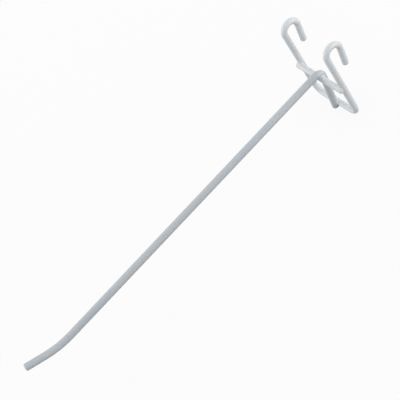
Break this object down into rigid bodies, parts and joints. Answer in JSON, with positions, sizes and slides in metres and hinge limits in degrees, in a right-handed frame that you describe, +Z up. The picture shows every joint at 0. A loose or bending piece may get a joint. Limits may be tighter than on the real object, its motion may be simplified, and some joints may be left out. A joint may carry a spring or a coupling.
{
  "type": "pegboard hook",
  "caption": "Welded wire hook for pegboard: a U frame with a hook over each leg, a cross wire, and a long level prong with an upturned tip, all white coated.",
  "frame": {"origin": "midway between the two hooks, on the plane that touches the backs of the legs, level with the underside of the hook turns where they bear on the board", "axes": "+Z up, +Y into the board so that the prong points along -Y, +X along the row of holes"},
  "size_m": [0.0562, 0.3479, 0.0859],
  "materials": {
    "frame_coating": "gloss white powder coat",
    "prong_coating": "gloss white powder coat"
  },
  "bodies": {
    "root": {"back_frame_wire": "frame_coating", "cross_wire": "frame_coating", "prong_wire": "prong_coating", "weld_fillets": "frame_coating"}
  },
  "joints": []
}
